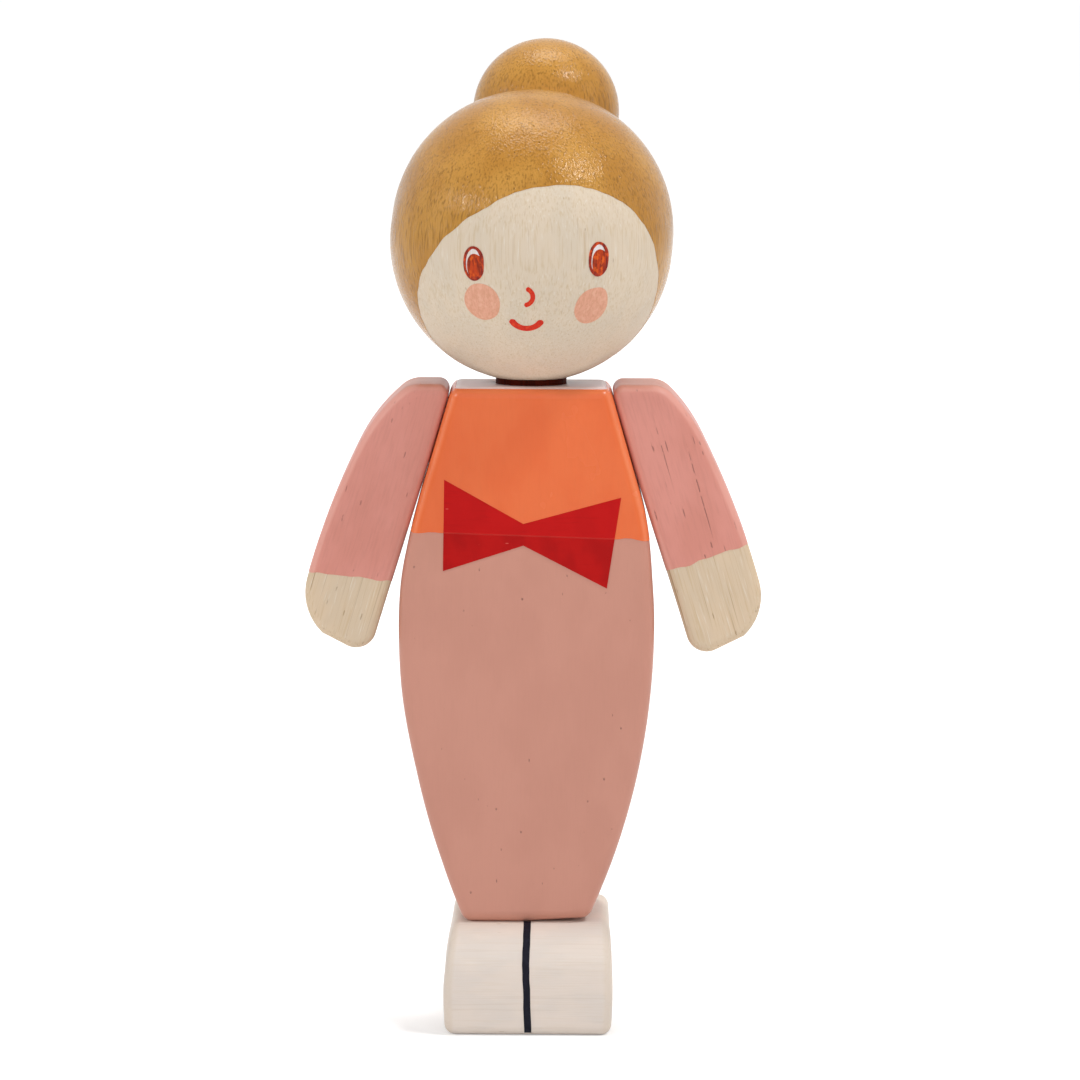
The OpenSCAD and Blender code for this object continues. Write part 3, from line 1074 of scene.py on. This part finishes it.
def ellipse(half, corner=0.0, count=40, wobble=0.0, seed=0.0):
    """Outline of an ellipse by an unsteady hand, which may have a corner at its upper right."""
    points = []
    for i in range(count):
        angle = 2 * math.pi * i / count
        unit = Vector((math.cos(angle), math.sin(angle), seed))
        peak = max(0.0, math.cos(angle - CORNER_TURN)) ** 8
        reach = 1 + wobble * noise.noise(unit * 1.5)
        reach += corner * (peak + math.sin(2 * angle) / 3)
        points.append((half[0] * unit.x * reach, half[1] * unit.y * reach))
    return points


def stroke(name, centre, spot, path, width, material, lift, closed=False):
    """A film along a path of (u, v) points. Width is a function of the share of the path."""
    count = len(path)
    rows = []
    for i, (u, v) in enumerate(path):
        if closed:
            before, after = path[i - 1], path[(i + 1) % count]
        else:
            before, after = path[max(0, i - 1)], path[min(count - 1, i + 1)]
        run = Vector((after[0] - before[0], after[1] - before[1])).normalized()
        half = width(i / (count if closed else count - 1)) / 2
        sides = [half * (1 - 2 * i / STROKE_COLUMNS) for i in range(STROKE_COLUMNS + 1)]
        rows.append([(u - run.y * side, v + run.x * side) for side in sides])
    ball_film(name, centre, spot, rows, material, lift, closed)


def centre_of(a, b, c):
    """The centre of the circle through three points."""
    to_b = b - a
    to_c = c - a
    scale = 2 * to_b.cross(to_c)
    x = (to_c.y * to_b.length_squared - to_b.y * to_c.length_squared) / scale
    y = (to_b.x * to_c.length_squared - to_c.x * to_b.length_squared) / scale
    return a + Vector((x, y))


def bend_through(spots):
    """The middle one of three spots, and the arc through all three round it."""
    middle = spots[1]
    flat = []
    for azimuth, elevation in spots:
        u = math.radians(azimuth - middle[0]) * BALL_RADIUS * math.cos(math.radians(elevation))
        v = math.radians(elevation - middle[1]) * BALL_RADIUS
        flat.append(Vector((u, v)))
    hub = centre_of(*flat)
    radius = (flat[0] - hub).length
    start, via, end = (math.atan2(p.y - hub.y, p.x - hub.x) for p in flat)
    sweep = math.remainder(via - start, math.tau) + math.remainder(end - via, math.tau)
    path = []
    for i in range(STROKE_ROWS + 1):
        angle = start + sweep * i / STROKE_ROWS
        path.append((hub.x + radius * math.cos(angle), hub.y + radius * math.sin(angle)))
    return middle, path


def round_ended(width, length, swell):
    """Width of a stroke that rounds off at both ends and swells towards them."""
    cap = width / 2 / length

    def at(share):
        edge = min(share, 1 - share) / cap
        body = 1 + (swell - 1) * abs(2 * share - 1) ** 3
        if edge >= 1:
            return width * body
        return width * body * max(BLUNT_END, math.sqrt(1 - (1 - edge) ** 2))

    return at


def make_face(finishes, centre):
    def paint(name):
        return finishes[name], MARK_LIFT[name]

    def pressure(share):
        return EYE_STROKE * (1 + 0.3 * noise.noise(Vector((share * 6, 1, 4))))

    white = ellipse([half - EYE_WHITE_INSET for half in EYE_HALF])
    pupil = ellipse(PUPIL_HALF, wobble=0.08, seed=5)
    ring = ellipse([half - EYE_STROKE / 2 for half in EYE_HALF], count=56, wobble=0.04, seed=9)
    shift = [math.degrees(distance / BALL_RADIUS) for distance in PUPIL_SHIFT]
    for side, spot in (("right", RIGHT_EYE), ("left", LEFT_EYE)):
        shifted = (spot[0] + shift[0], spot[1] + shift[1])
        mark(side + "_eye_white", centre, spot, white, *paint("eye_white"))
        mark(side + "_pupil", centre, shifted, pupil, *paint("eye"))
        stroke(side + "_eye_ring", centre, spot, ring, pressure, *paint("eye_ring"), closed=True)
    cheek = ellipse(RIGHT_CHEEK_HALF, wobble=0.04, seed=1)
    mark("right_cheek", centre, RIGHT_CHEEK, cheek, *paint("cheek"))
    cheek = ellipse(LEFT_CHEEK_HALF, corner=0.1, wobble=0.05, seed=3)
    mark("left_cheek", centre, LEFT_CHEEK, cheek, *paint("cheek"))
    for name, (spots, *form) in FACE_LINES.items():
        spot, path = bend_through(spots)
        stroke(name, centre, spot, path, round_ended(*form), *paint("lip"))


# Arms


def arm_sides(side):
    """The inner and outer side of an arm's outline, from the fingertip up."""
    lean = math.radians(FLANK_SLOPE)
    width = ARM_WIDTH[side]
    shoulder_turn = SHOULDER_TURN[side]
    forearm = FOREARM_LENGTH[side] / math.sin(math.radians(FOREARM_TURN))

    def polar(distance, angle):
        turn = math.radians(angle)
        return Vector((distance * math.cos(turn), distance * math.sin(turn)))

    upper_run = polar(forearm - SHOULDER_CURVE, FOREARM_TURN)
    corner_run = polar(SHOULDER_CURVE - SHOULDER_CORNER, shoulder_turn)
    hand_run = polar(forearm - HAND_CURVE, WRIST_TURN)
    corner_x = width - forearm + upper_run.x + corner_run.x
    top_fall = SHOULDER_CORNER - ARM_EDGE + (corner_x - ARM_EDGE) * math.sin(lean)
    widest = ARM_TOP - ARM_EDGE - upper_run.y - corner_run.y - top_fall / math.cos(lean)
    forearm_centre = Vector((width - forearm, widest))
    upper_centre = forearm_centre + upper_run
    corner_centre = upper_centre + corner_run
    hand_centre = forearm_centre + hand_run
    inner_centre = (ARM_EDGE, ARM_TOP - ARM_EDGE)
    tip_centre = (HAND_TIP, widest - HAND_LENGTH[side] + HAND_TIP)
    outer = arc(tip_centre, HAND_TIP, -90 + TIP_TURN, FINGERTIP_TURN)
    outer = joined(outer, arc(hand_centre, HAND_CURVE, HAND_TURN, WRIST_TURN), PALM_ROWS)
    outer += arc(forearm_centre, forearm, WRIST_TURN, FOREARM_TURN)[1:]
    outer += arc(upper_centre, SHOULDER_CURVE, FOREARM_TURN, shoulder_turn)[1:]
    outer += arc(corner_centre, SHOULDER_CORNER, shoulder_turn, 90 - FLANK_SLOPE)[1:]
    inner = arc(tip_centre, HAND_TIP, -90 - TIP_TURN, -180)
    corner = arc(inner_centre, ARM_EDGE, 180, 90 - FLANK_SLOPE)
    inner = joined(inner, corner, len(outer) - len(inner) - len(corner) + 1)
    return inner, outer


def make_arm(finishes, side):
    sign = 1 if side == "left" else -1
    pin = Vector(JOINTS[side + "_arm_swing"]["pos_m"]) / MM
    lean = math.radians(FLANK_SLOPE)
    out = Vector((math.cos(lean) * sign, 0, math.sin(lean)))
    up = Vector((-math.sin(lean) * sign, 0, math.cos(lean)))
    inner, outer = arm_sides(side)
    fingertip = inner[0][1]

    def place(x, y, z):
        splay = HAND_SPLAY[side] * ramp(z, 0, fingertip)
        return pin + out * (x + ARM_GAP + splay) + up * z + Vector((0, y, 0))

    points, faces = plank(inner, outer, ARM_DEPTH, ARM_EDGE, ARM_COLUMNS, place)
    home = (side + "_arm_unit", "sleeve_paint")
    arm = new_piece(side + "_arm_wood", points, faces, finishes[side + "_hand"], home)
    sand(arm)
    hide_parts(side + "_arm")
    middle = pin.x + sign * CUFF_MIDDLE

    def cuff(point):
        rise = (point.x - middle) * sign * CUFF_RISE[side]
        bend = ripple(point.x, point.y, *CUFF_WAVES[side]) * CUFF_RIPPLE
        return Vector((0, 0, bend - rise))

    cuts = (((0, 0, CUFF_LEVEL[side]), (0, 0, -1)),)
    name = side + "_sleeve"
    sleeve = paint_film(name + "_paint", arm, cuts, finishes[name], home, cuff)
    for piece in (arm, sleeve):
        drill(piece, pin + out * ARM_GAP, out, PIN_RADIUS - ARM_BORE_FIT, PIN_IN_ARM)
        smooth(piece)


# Studio


def make_camera():
    made = bpy.data.cameras.new("camera")
    made.lens = LENS
    made.sensor_width = SENSOR
    made.clip_start = 0.01
    made.clip_end = 100
    camera = add_object("camera", made)
    aim = Matrix.Rotation(math.radians(90 - CAMERA_DOWN), 4, "X")
    roll = Matrix.Rotation(math.radians(CAMERA_ROLL), 4, "Z")
    camera.matrix_world = Matrix.Translation(CAMERA_PLACE * MM) @ aim @ roll
    bpy.context.scene.camera = camera


def make_lamp(name, azimuth, elevation, distance, width, height, radiance):
    """An area light that looks at the middle of the doll, in metres and degrees."""
    made = bpy.data.lights.new(name, "AREA")
    made.shape = "RECTANGLE"
    made.size = width
    made.size_y = height
    made.energy = radiance * math.pi * width * height
    lamp = add_object(name, made)
    back = axis_of(azimuth, elevation)
    lamp.rotation_mode = "QUATERNION"
    lamp.rotation_quaternion = (-back).to_track_quat("-Z", "Y")
    lamp.location = LAMP_AIM + back * distance


def white_to_camera(tree):
    """1 for the rays that look at or mirror the background, else 0."""
    path = add_node(tree, "LightPath").outputs
    total = path["Is Camera Ray"]
    for name in ("Is Glossy Ray", "Is Transmission Ray"):
        total = add_node(tree, "Math", {0: total, 1: path[name]}, operation="MAXIMUM").outputs[0]
    return total


def make_world():
    world = bpy.data.worlds.new("studio")
    bpy.context.scene.world = world
    world.use_nodes = True
    tree = world.node_tree
    sky = tree.nodes["Background"]
    sky.inputs["Color"].default_value = (1, 1, 1, 1)
    values = {"Value": white_to_camera(tree), "To Min": AMBIENT, "To Max": 1}
    level = add_node(tree, "MapRange", values)
    tree.links.new(level.outputs[0], sky.inputs["Strength"])


def make_floor():
    """A pale floor that reads as white, far from the lamps too, and keeps the shadow."""
    mesh = bpy.data.meshes.new("floor")
    far = FLOOR_REACH
    corners = ((-far, -far, 0), (far, -far, 0), (far, far, 0), (-far, far, 0))
    mesh.from_pydata(corners, [], [(0, 1, 2, 3)])
    material = bpy.data.materials.new("floor")
    material.use_nodes = True
    tree = material.node_tree
    shader = tree.nodes["Principled BSDF"]
    shader.inputs["Base Color"].default_value = (FLOOR_GREY, FLOOR_GREY, FLOOR_GREY, 1)
    shader.inputs["Roughness"].default_value = 0.9
    shader.inputs["Specular IOR Level"].default_value = 0.0
    shader.inputs["Emission Color"].default_value = (1, 1, 1, 1)
    place = add_node(tree, "TexCoord").outputs["Object"]
    distance = add_node(tree, "VectorMath", {0: place}, operation="LENGTH").outputs["Value"]
    values = dict(enumerate((distance, *FLOOR_GLOW_REACH, *FLOOR_GLOW)))
    glow = add_node(tree, "MapRange", values).outputs[0]
    level = add_node(tree, "Math", {0: glow, 1: white_to_camera(tree)}, operation="MULTIPLY")
    tree.links.new(level.outputs[0], shader.inputs["Emission Strength"])
    mesh.materials.append(material)
    add_object("floor", mesh)


def make_studio():
    bpy.context.scene.view_settings.view_transform = "Standard"
    make_camera()
    make_world()
    make_floor()
    for name, place in LAMPS.items():
        make_lamp(name, *place)


def paint_dowels(finishes):
    """Gives the dowels, which show as the frame has them, their finish."""
    # The neck dowel takes the painted shade of the gap under the head; the other dowels show bare
    # wood.
    finish = {"neck_dowel": finishes["neck"]}
    for side in ("left", "right"):
        finish[side + "_foot_dowel"] = finishes["dowel"]
        finish[side + "_arm_pin"] = finishes["dowel"]
    for node, material in finish.items():
        mesh = frame["nodes"][node].data
        mesh.materials.clear()
        mesh.materials.append(material)


make_studio()
finishes = make_finishes()
make_feet(finishes)
make_body(finishes)
make_head(finishes)
make_arm(finishes, "right")
make_arm(finishes, "left")
paint_dowels(finishes)
